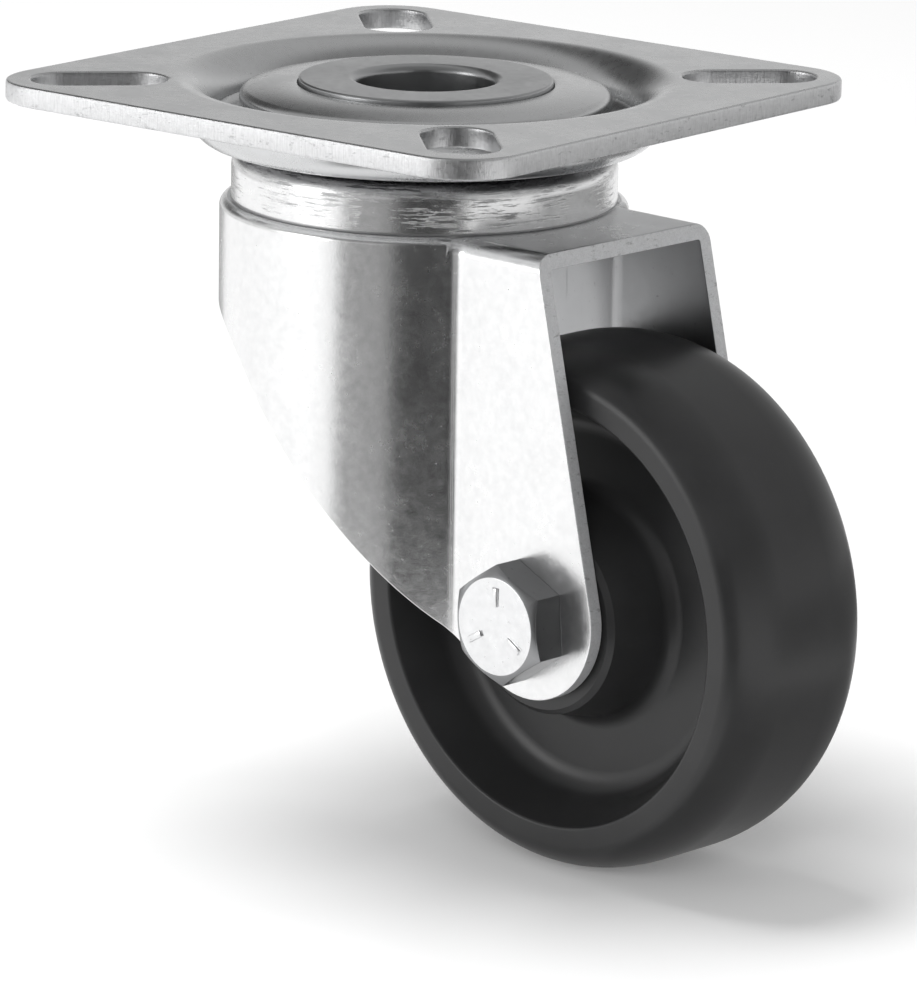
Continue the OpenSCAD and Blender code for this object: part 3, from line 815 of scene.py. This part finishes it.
def side_outline():
    rear = unit(-90 - rear_angle)
    heel_pt = heel + rear * heel_r
    blend_z = back_z - blend_r
    blend_x = heel_pt.x + (blend_r - rear.y * (blend_z - heel_pt.y)) / rear.x
    sole = leg_end - heel
    sole_turn = bearing(sole) - math.degrees(math.acos((heel_r - leg_end_r) / sole.length))
    roof_pt = Vector((roof_front, roof_z))
    reach = roof_pt - leg_end
    front_turn = bearing(reach) - math.degrees(math.acos(leg_end_r / reach.length))
    front_pt = leg_end + unit(front_turn) * leg_end_r
    front_up = roof_pt + (roof_pt - front_pt).normalized() * overshoot
    back_x = -body_r - spare_end
    line = [tuple(front_up)]
    line += arc(leg_end, leg_end_r, front_turn, sole_turn, 28)
    line += arc(heel, heel_r, sole_turn, -90 - rear_angle, 8)
    line += arc((blend_x, blend_z), blend_r, 90 - rear_angle, 90, 12)
    return line + [(back_x, back_z), (back_x, front_up.y)]


def beside_fork(x, z):
    return fork_place(x, -cut_half, z)


side_cut = slab("side_cut", side_outline(), beside_fork, across * 2 * cut_half * mm)
combine(fork, paint(side_cut, edge_fork), "INTERSECT")
print("trimmed fork faces", len(fork.data.polygons))

# %% [markdown]
# ## Fork head
# Above the roof the same sheet rises into a neck and ends in a wave that holds both ball
# rows. The wave is two arcs round the ball circles with a straight line touching both,
# drawn once for the top and once for the underside, and spun.

# %% Fork head
open_r, open_top, open_low = 17.5, -8, -16
neck_lap = 0.02
track_out = ball_track + sheet_t
wave = Vector(upper_mid) - Vector(lower_mid)
wave_turn = bearing(wave) + math.degrees(math.acos((ball_track + track_out) / wave.length))
neck_mid = (neck_r - neck_bend - sheet_t, head_top - neck_bend - sheet_t)
neck_low = roof_z - sheet_t - neck_lap
hole_reach = head_hole - lower_mid[0]


def rise_turn(radius, level):
    """where an arc round the upper ball circle reaches a level, on its outer side"""
    return -math.degrees(math.asin((upper_mid[1] - level) / radius))


head_line = arc(lower_mid, track_out, math.degrees(math.acos(hole_reach / track_out)), wave_turn, 8)
head_line += arc(upper_mid, ball_track, wave_turn - 180, rise_turn(ball_track, head_top), 8)
head_line += arc(neck_mid, neck_bend + sheet_t, 90, 0, 10)
head_line += [(neck_r, neck_low), (neck_r - sheet_t, neck_low)]
head_line += arc(neck_mid, neck_bend, 0, 90, 6)
head_line += arc(upper_mid, track_out, rise_turn(track_out, head_top - sheet_t), wave_turn - 180, 8)
head_line += arc(lower_mid, ball_track, wave_turn, math.degrees(math.acos(hole_reach / ball_track)), 8)
head = paint(spin("head", head_line + head_line[:1]), zinc_fork)

opening = spin("opening", [(0, open_top), (open_r, open_top), (open_r, open_low), (0, open_low)])
combine(fork, paint(opening, zinc_fork), "DIFFERENCE")
combine(fork, head, "UNION")
print("fork with head", len(fork.data.polygons))

# %% [markdown]
# ## Axle bosses
# Each leg is pressed outwards a little round the axle: a low boss outside and a dish
# behind it. Both are short cones on the axle's line. They start inside the sheet, because
# a Boolean goes wrong where two faces lie in one plane. The flat roof, which mirrors a
# duller part of the room than the legs do, gets a darker copy of the zinc last, as painted
# shade.

# %% Bosses, dishes and bolt holes
boss_sunk, dish_sunk, dish_less = 0.05, 0.25, 0.5
bolt_hole_r, hole_reach_out = 3.1, 2
fork_rounding, fork_limit = 0.14, 50
level_normal, roof_band = 0.99, 0.05
inside = leg_y - sheet_t
spread = (boss_foot - boss_top) / boss_h


def on_axle(name, outline, sign=1, steps=72):
    """a piece turned round the axle, its heights measured outwards from the fork's middle"""
    return spin(name, outline, centre=axle_mid, axis=across * sign, radial=up, steps=steps)


def on_roof(mid, normal):
    return normal.z > level_normal and abs(mid.z - roof_z * mm) < roof_band * mm


for sign in (-1, 1):
    low, wide = leg_y - boss_sunk, boss_foot + boss_sunk * spread
    boss = [(0, low), (wide, low), (boss_top, leg_y + boss_h), (0, leg_y + boss_h)]
    combine(fork, paint(on_axle("boss", boss, sign), zinc_fork), "UNION")
    low, wide = inside - dish_sunk, boss_foot - dish_less + dish_sunk * spread
    bottom, end = inside + boss_h, leg_y + hole_reach_out
    dish = [(0, low), (wide, low), (boss_top - dish_less, bottom)]
    dish += [(bolt_hole_r, bottom), (bolt_hole_r, end), (0, end)]
    combine(fork, paint(on_axle("dish", dish, sign), zinc_fork), "DIFFERENCE")
# painted shade: the flat roof gets the darker copy of the fork's zinc
repaint(fork, zinc_roof, on_roof)
finish(fork, "fork", "fork", rounding=fork_rounding, limit=fork_limit, clamp=False)

# %% [markdown]
# ## Wheel
# The wheel is one moulding with a wide flat tread, soft elliptical shoulders, a recess on
# each side and a hub that tapers towards its end. Half of the section is written from the
# bore outwards, mirrored, and spun round the axle.

# %% Wheel section
wheel_r, wheel_half = 25.0, 9.0
shoulder_w, shoulder_h, shoulder_steps = 5.7, 2.9, 12
land, slope_w, lip_round = 1.9, 2.2, 0.35
web_half, web_round, wall_round = 3.0, 1.6, 2.8
hub_foot, hub_end, hub_half, hub_chamfer = 10.8, 9.4, 9.9, 0.5
tube_r, run_gap = 4.0, 0.06
wheel_steps = 160


def corner(place, start, end, radius, steps=6):
    """an arc that rounds a hollow corner between two directions in degrees"""
    half = math.radians((end - start) / 2)
    mid = Vector(place) + unit((start + end) / 2) * (radius / math.sin(half))
    return arc(mid, radius, start - 90, end - 270, steps)


def wheel_section():
    outer = wheel_r - shoulder_h
    step_r = outer - land
    wall = math.degrees(math.atan2(wheel_half - web_half, slope_w))
    hub = math.degrees(math.atan2(hub_half - web_half, hub_end - hub_foot))
    half = [(tube_r + run_gap, hub_half)]
    half += [(hub_end - hub_chamfer, hub_half), (hub_end, hub_half - hub_chamfer)]
    half += corner((hub_foot, web_half), 0, hub, web_round)[::-1]
    half += corner((step_r - slope_w, web_half), wall, 180, wall_round, 8)[::-1]
    half += arc((step_r + lip_round, wheel_half - lip_round), lip_round, 180, 90, 4)
    for right, rise in arc((0, 0), 1, 90, 0, shoulder_steps):
        half.append((outer + shoulder_h * right, wheel_half - shoulder_w + shoulder_w * rise))
    low = [(r, -h) for r, h in reversed(half)]
    return half + low + half[:1]


wheel = on_axle("wheel_moulding", wheel_section(), steps=wheel_steps)
finish(paint(wheel, wheel_black), "wheel", "wheel")

# %% [markdown]
# ## Bolt
# A hexagon bolt goes through legs and tube into a lock nut. A real head is a hexagonal
# bar whose end was turned to a cone, so a six-sided prism is trimmed by a turned cone,
# which leaves the curved corners. Three plain raised ticks break up its flat end.

# %% Bolt sizes
bolt_r, bolt_l = 3.0, 32.0
head_af, head_h, flat_r, head_turn = 10.0, 3.6, 4.6, 35.0
thread_pitch, thread_depth, thread_start = 1.0, 0.3, 1.5
thread_groove = ((0.10, 0), (0.45, 1), (0.60, 1), (0.95, 0))
point_h, point_in, last_thread, head_lap = 0.7, 0.6, 0.8, 0.3
tick_in, tick_out, tick_half, tick_sunk, tick_h = 1.9, 3.7, 0.3, 0.2, 0.42
small_limit, small_smooth, hex_steps, shank_steps = 25, 24, 96, 64
bolt_rounding = 0.1
past, clear = 1, 0.2
cone = math.tan(math.radians(30))
corner_r = head_af / 2 / math.cos(math.radians(30))
reach = corner_r + clear
slant = (reach - flat_r) * cone
boss_y = leg_y + boss_h
head_y = boss_y + head_h
tip = bolt_l - boss_y
print("bolt from", -round(head_y, 2), "to", round(tip, 2), "mm along the axle")

# %% Hexagon and thread
def axle_level(y):
    return lambda x, z: fork_place(axle_x + x, y, axle_z + z)


def hexagon(name, turn, low, high, sign):
    """a six-sided prism round the axle, between two distances from the fork's middle"""
    line = [unit(turn + 60 * i) * corner_r for i in range(6)]
    return slab(name, line, axle_level(sign * low), across * sign * (high - low) * mm)


def threaded(radius, low, high):
    """half an outline with one groove for each turn of the thread"""
    turns = int((high - low) / thread_pitch)
    steps = [(low + i * thread_pitch, share, dip) for i in range(turns) for share, dip in thread_groove]
    return [(radius - dip * thread_depth, start + share * thread_pitch) for start, share, dip in steps]


def on_head_end(mid, normal):
    return abs(-mid.dot(across) - head_y * mm) < tiny


print("thread has", len(threaded(bolt_r, 0, bolt_l)), "places on a full length")

# %% Bolt
# painted shade: the head's flanks get the darker zinc, and its flat end the bright one
bolt = paint(hexagon("hex_bolt", head_turn, boss_y, head_y, -1), zinc_flank)
dome = [(0, boss_y - past), (reach, boss_y - past), (reach, head_y - slant), (flat_r, head_y), (0, head_y)]
combine(bolt, paint(on_axle("cone", dome, -1, hex_steps), zinc_flank), "INTERSECT")
repaint(bolt, zinc_bolt, on_head_end)
thread_y = boss_y - thread_start
shank = [(0, -boss_y - head_lap), (bolt_r, -boss_y - head_lap), (bolt_r, thread_y)]
shank += threaded(bolt_r, thread_y, tip - last_thread)
shank += [(bolt_r, tip - point_h), (bolt_r - point_in, tip), (0, tip)]
combine(bolt, paint(on_axle("shank", shank, steps=shank_steps), zinc_bolt), "UNION")
tick_ends = ((tick_in, -tick_half), (tick_out, -tick_half), (tick_out, tick_half), (tick_in, tick_half))
for turn in (0, 120, 240):
    line = [unit(turn + 90) * out + unit(turn) * aside for out, aside in tick_ends]
    tick = slab("tick", line, axle_level(tick_sunk - head_y), -across * tick_h * mm)
    combine(bolt, paint(tick, zinc_bolt), "UNION")
finish(bolt, "fork", "axle_bolt", rounding=bolt_rounding, limit=small_limit, smooth=small_smooth)

# %% [markdown]
# ## Nut, ring and tube
# The lock nut is the same prism, coned on both ends, with a round collar that holds a
# plastic ring. A turned cutter makes its bore and the ring's seat in one go. The ring and
# the tube between the legs are turned from their own sections.

# %% Nut
nut_h, nut_turn, nut_rounding = 6.0, 12.0, 0.08
nut_hex = 0.74 * nut_h
collar_r, collar_round, collar_lap = 4.5, 0.7, 0.5
ring_t, ring_edge = 0.75, 0.1
ring_h = 0.7 * (nut_h - nut_hex)
bore_gap, mouth_gap, tube_gap, tube_edge = 0.03, 0.45, 0.05, 0.15
hex_y, nut_y = boss_y + nut_hex, boss_y + nut_h
ring_r, ring_y = bolt_r + ring_t, hex_y + ring_h
bore, open_mouth = bolt_r + bore_gap, bolt_r + mouth_gap

nut = paint(hexagon("nut", nut_turn, boss_y, hex_y, 1), zinc_nut)
drum = [(0, boss_y), (flat_r, boss_y), (reach, boss_y + slant)]
drum += [(reach, hex_y - slant), (flat_r, hex_y), (0, hex_y)]
combine(nut, paint(on_axle("drum", drum, steps=hex_steps), zinc_nut), "INTERSECT")
collar = [(0, hex_y - collar_lap), (collar_r, hex_y - collar_lap)]
collar += arc((collar_r - collar_round, nut_y - collar_round), collar_round, 0, 90, 6)
collar += [(0, nut_y)]
combine(nut, paint(on_axle("collar", collar), zinc_nut), "UNION")
hollow = [(0, boss_y - past), (bore, boss_y - past), (bore, hex_y), (ring_r, hex_y), (ring_r, ring_y),
          (open_mouth, ring_y), (open_mouth, nut_y + past), (0, nut_y + past)]
combine(nut, paint(on_axle("hollow", hollow), zinc_nut), "DIFFERENCE")
finish(nut, "fork", "lock_nut", rounding=nut_rounding, limit=small_limit, smooth=small_smooth)

# %% Ring and tube
ring = [(bolt_r, hex_y), (ring_r, hex_y), (ring_r, ring_y - ring_edge), (ring_r - ring_edge, ring_y),
        (bolt_r + ring_edge, ring_y), (bolt_r, ring_y - ring_edge)]
nut_ring = on_axle("nut_ring", ring + ring[:1])
finish(paint(nut_ring, insert_blue), "fork", "nut_insert")

half = inside + boss_h
tube_in, tube_edge_r = bolt_r + tube_gap, tube_r - tube_edge
sleeve = [(tube_in, -half), (tube_edge_r, -half), (tube_r, tube_edge - half), (tube_r, half - tube_edge),
          (tube_edge_r, half), (tube_in, half)]
tube = on_axle("tube", sleeve + sleeve[:1])
finish(paint(tube, zinc_tube), "fork", "axle_tube")

# %% [markdown]
# ## Floor
# The castor stands on a white table. An ordinary pale material would read as grey beside
# a white background, and more light would bleach the zinc. The floor's own shader keeps
# the shadow, and adds just enough light of its own where the camera or a reflection sees
# it to read as white paper.

# %% The floor's finish
white = (1, 1, 1, 1)
floor_gloss, floor_shine = 0.9, 0.1
floor_side, floor_glow, floor_clouds = 8, 0.14, 60 * mm
floor_dark, floor_pale = (0.84, 0.84, 0.84), (0.86, 0.86, 0.86)


def seen_rays(tree):
    """1 for rays that see the background: from the camera, off gloss and through glass"""
    path = tree.nodes.new("ShaderNodeLightPath")
    kinds = [Wire(tree, path.outputs[f"Is {kind} Ray"]) for kind in ("Camera", "Glossy", "Transmission")]
    return kinds[0].math("MAXIMUM", kinds[1]).math("MAXIMUM", kinds[2])


def floor_material():
    material, tree, shader, place = new_material("white_table")
    clouds = noise(tree, place, floor_clouds, 2)
    shader.inputs["Roughness"].default_value = floor_gloss
    shader.inputs["Specular IOR Level"].default_value = floor_shine
    shader.inputs["Emission Color"].default_value = white
    glow = add(tree, "ShaderNodeEmission", {}, {"Color": white, "Strength": seen_rays(tree) * floor_glow})
    both = tree.nodes.new("ShaderNodeAddShader")
    plug(tree, shader, Base_Color=colour_mix(tree, clouds, floor_dark, floor_pale))
    tree.links.new(shader.outputs[0], both.inputs[0])
    tree.links.new(glow.socket, both.inputs[1])
    tree.links.new(both.outputs[0], tree.nodes["Material Output"].inputs["Surface"])
    return material


print("floor glows by", floor_glow)

# %% Table
deselect()
bpy.ops.mesh.primitive_plane_add(size=floor_side, location=(0, 0, cad_low.z))
floor = bpy.context.object
floor.name = "table"
bpy.ops.object.transform_apply(location=True)
paint(floor, floor_material())
print("floor at", round(cad_low.z / mm, 1), "mm")

# %% [markdown]
# ## Room and lamps
# Polished zinc shows whatever surrounds it, so the room matters as much as the lamps:
# white walls, a ceiling that is dark in front and grey behind, and a dark doorway behind
# on the left. The world's strength draws them from the direction of each ray. A wide soft
# lamp overhead makes the pale pool of shadow, and it and the front lamp stay out of the
# reflections.

# %% World
room_light = 0.38
wall_end, ceiling_start = -0.09, 0.47
front_end, back_start = -0.3, 0.25
front_ceiling, back_ceiling = 0.26, 0.50
doorway_turn, doorway_rise = 115, 30
doorway_out, doorway_in, doorway_dark = 32, 15, 0.85

world = bpy.data.worlds.new("white_room")
bpy.context.scene.world = world
world.use_nodes = True
sky = world.node_tree
towards = add(sky, "ShaderNodeTexCoord", output="Generated")
_, depthwise, upwards = split(sky, towards)
ceiling = depthwise.between(front_end, back_start) * (back_ceiling - front_ceiling) + front_ceiling
flat_way = unit(doorway_turn) * math.cos(math.radians(doorway_rise))
doorway = (*flat_way, math.sin(math.radians(doorway_rise)))
nearness = add(sky, "ShaderNodeVectorMath", {"operation": "DOT_PRODUCT"},
               {0: towards, 1: doorway}, output="Value")
border = (math.cos(math.radians(doorway_out)), math.cos(math.radians(doorway_in)))
dark_patch = nearness.between(*border) * doorway_dark
walls = (1 - upwards.between(wall_end, ceiling_start) * (1 - ceiling)) * (1 - dark_patch)
camera_ray = add(sky, "ShaderNodeLightPath", output="Is Camera Ray")
walls = camera_ray + walls * (1 - camera_ray)
seen = seen_rays(sky)
strength = seen * walls + (1 - seen) * room_light
sky.links.new(strength.socket, sky.nodes["Background"].inputs["Strength"])
sky.nodes["Background"].inputs["Color"].default_value = white
print("ceiling", front_ceiling, "in front and", back_ceiling, "behind")

# %% Lamps
lamp_aim = Vector((0, 0, -0.03))


def lamp(name, place, size, power, in_gloss=False):
    """a round soft lamp that points at the castor's upper half"""
    deselect()
    bpy.ops.object.light_add(type="AREA", location=place)
    light = bpy.context.object
    light.name = name
    light.data.shape = "DISK"
    light.data.size = size
    light.data.energy = power
    light.rotation_euler = (lamp_aim - Vector(place)).to_track_quat("-Z", "Y").to_euler()
    light.visible_glossy = in_gloss


lamp("overhead", place=(-0.24, 0.18, 1.0), size=0.52, power=8.7)
lamp("fill", place=(-0.15, -1.0, 0.32), size=0.6, power=4.2)
lamp("left", place=(-0.95, -0.25, 0.16), size=0.5, power=1.7, in_gloss=True)
print("lamps", len(bpy.data.lights))

# %% [markdown]
# ## Reflection cards
# A studio photographer stands grey and black cards round a shiny piece to draw its
# shape. Five of them lean outwards from the table here, where only reflections see them.
# The black one stands for the dark room behind the camera, and gives the round body its
# dark band.

# %% The making of a card
card_lift = 0.5 * mm
hidden_from = ("camera", "diffuse", "transmission", "volume_scatter", "shadow")


def card(name, bearings, distances, height, shade):
    """a card between two bearings, which rises from the near distance to the far one"""
    start, end = bearings
    near, far = distances
    places = []
    for turn, distance, z in ((start, near, 0), (end, near, 0), (end, far, height), (start, far, height)):
        places.append(unit(turn).to_3d() * distance + up * (cad_low.z + card_lift + z))
    piece = trace(name, places + places[:1])
    close_up()
    bpy.ops.mesh.edge_face_add()
    deselect()
    material, tree, _, _ = new_material(name)
    glow = add(tree, "ShaderNodeEmission", {}, {"Color": (shade, shade, shade, 1), "Strength": 1.0})
    tree.links.new(glow.socket, tree.nodes["Material Output"].inputs["Surface"])
    paint(piece, material)
    for kind in hidden_from:
        setattr(piece, "visible_" + kind, False)


print("cards are hidden from", hidden_from)

# %% Cards
card("dark_room", bearings=(-112, -73), distances=(0.09, 0.50), height=0.34, shade=0.05)
card("grey_left", bearings=(-142, -112), distances=(0.09, 0.40), height=0.12, shade=0.36)
card("grey_right", bearings=(-28, 40), distances=(0.12, 0.40), height=0.02, shade=0.30)
card("grey_back", bearings=(72, 117), distances=(0.12, 0.40), height=0.02, shade=0.42)
card("grey_near", bearings=(-72, 5), distances=(0.036, 0.10), height=0.004, shade=0.35)
